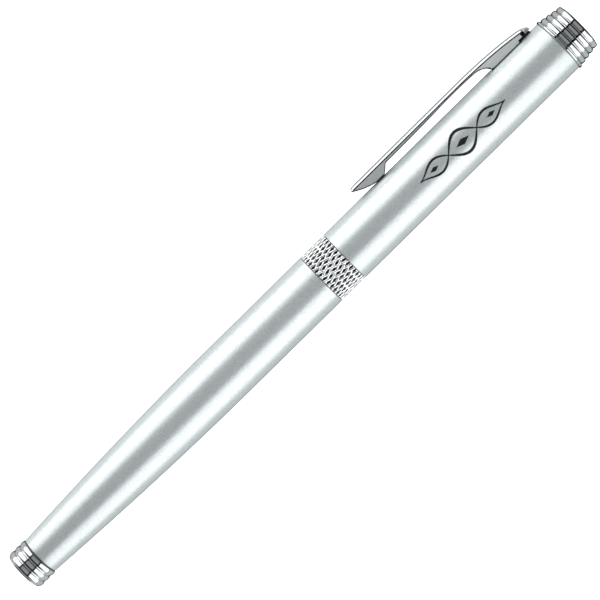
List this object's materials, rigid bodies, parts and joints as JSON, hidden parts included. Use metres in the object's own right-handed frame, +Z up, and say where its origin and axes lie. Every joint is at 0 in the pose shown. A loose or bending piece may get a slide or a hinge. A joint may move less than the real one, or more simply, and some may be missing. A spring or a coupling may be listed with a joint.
{
  "type": "rollerball pen",
  "caption": "Capped metal rollerball pen with a tapered barrel, ribbed ends, a lattice band at the cap's mouth and a sprung pocket clip.",
  "frame": {"origin": "centre of the flat end face of the tail, on the pen's axis", "axes": "+X along the pen's axis from the tail to the cap's top, +Z up; the pen lies on a level surface with its clip low on the +Y side"},
  "size_m": [0.14, 0.0126, 0.0114],
  "materials": {
    "satin_metal": "satin, very fine blasted grain",
    "chrome": "polished",
    "brass": "machined",
    "steel": "bright",
    "black_plastic": "fine matt",
    "grey_plastic": "smooth",
    "clear_plastic": "smooth",
    "fibre": "ink-soaked felt"
  },
  "bodies": {
    "barrel": {"barrel_tube": "satin_metal", "tail_finial": "chrome", "tail_stud": "steel", "tail_plug": "black_plastic", "refill_spring": "steel", "barrel_bush": "brass"},
    "section_ring": {"section_ring": "chrome"},
    "grip": {"grip_sleeve": "black_plastic", "section_thread": "brass", "nose_cone": "chrome"},
    "snap_ring": {"snap_ring": "grey_plastic"},
    "cap": {"cap_tube": "satin_metal", "cap_band": "chrome", "cap_mouth_bush": "black_plastic", "inner_cap": "grey_plastic", "clip_carrier": "brass", "clip_pin": "steel", "clip_spring": "steel", "clip_bumper": "black_plastic", "lock_washer": "steel", "finial_stud": "steel", "cap_finial": "chrome"},
    "clip": {"clip": "chrome"},
    "refill": {"refill_tube": "clear_plastic", "refill_end_plug": "black_plastic", "ink_reservoir": "fibre", "ink_feed": "fibre", "refill_nose": "grey_plastic", "refill_tip": "steel"},
    "writing_ball": {"writing_ball": "steel"}
  },
  "joints": [
    {"name": "section_lift", "type": "slide", "parent": "barrel", "child": "section_ring", "axis": [1, 0, 0], "range_m": [0, 0.006]},
    {"name": "section_unscrew", "type": "hinge", "parent": "section_ring", "child": "grip", "pos_m": [0.0744, 0, 0], "axis": [1, 0, 0], "range_deg": [0, 2881]},
    {"name": "cap_turn", "type": "hinge", "parent": "grip", "child": "snap_ring", "pos_m": [0.0795, 0, 0], "axis": [1, 0, 0], "continuous": true},
    {"name": "cap_pull", "type": "slide", "parent": "snap_ring", "child": "cap", "axis": [1, 0, 0], "range_m": [0, 0.06]},
    {"name": "clip_rock", "type": "hinge", "parent": "cap", "child": "clip", "pos_m": [0.1268, 0.00279, -0.00211], "axis": [0, -0.6032, -0.7976], "range_deg": [0, 2.8], "stiffness_Nm_per_rad": 1, "springref_deg": -1.72, "deforming": ["clip_spring", "clip_bumper"]},
    {"name": "refill_push", "type": "slide", "parent": "grip", "child": "refill", "axis": [-1, 0, 0], "range_m": [0, 0.0012], "stiffness_N_per_m": 200, "springref_m": -0.004, "deforming": ["refill_spring"]},
    {"name": "ball_roll", "type": "hinge", "parent": "refill", "child": "writing_ball", "pos_m": [0.11925, 0, 0], "axis": [0, 1, 0], "continuous": true}
  ],
  "couplings": [
    {"joint": "section_unscrew", "follows": "section_lift", "rad_per_m": 8377.6}
  ]
}
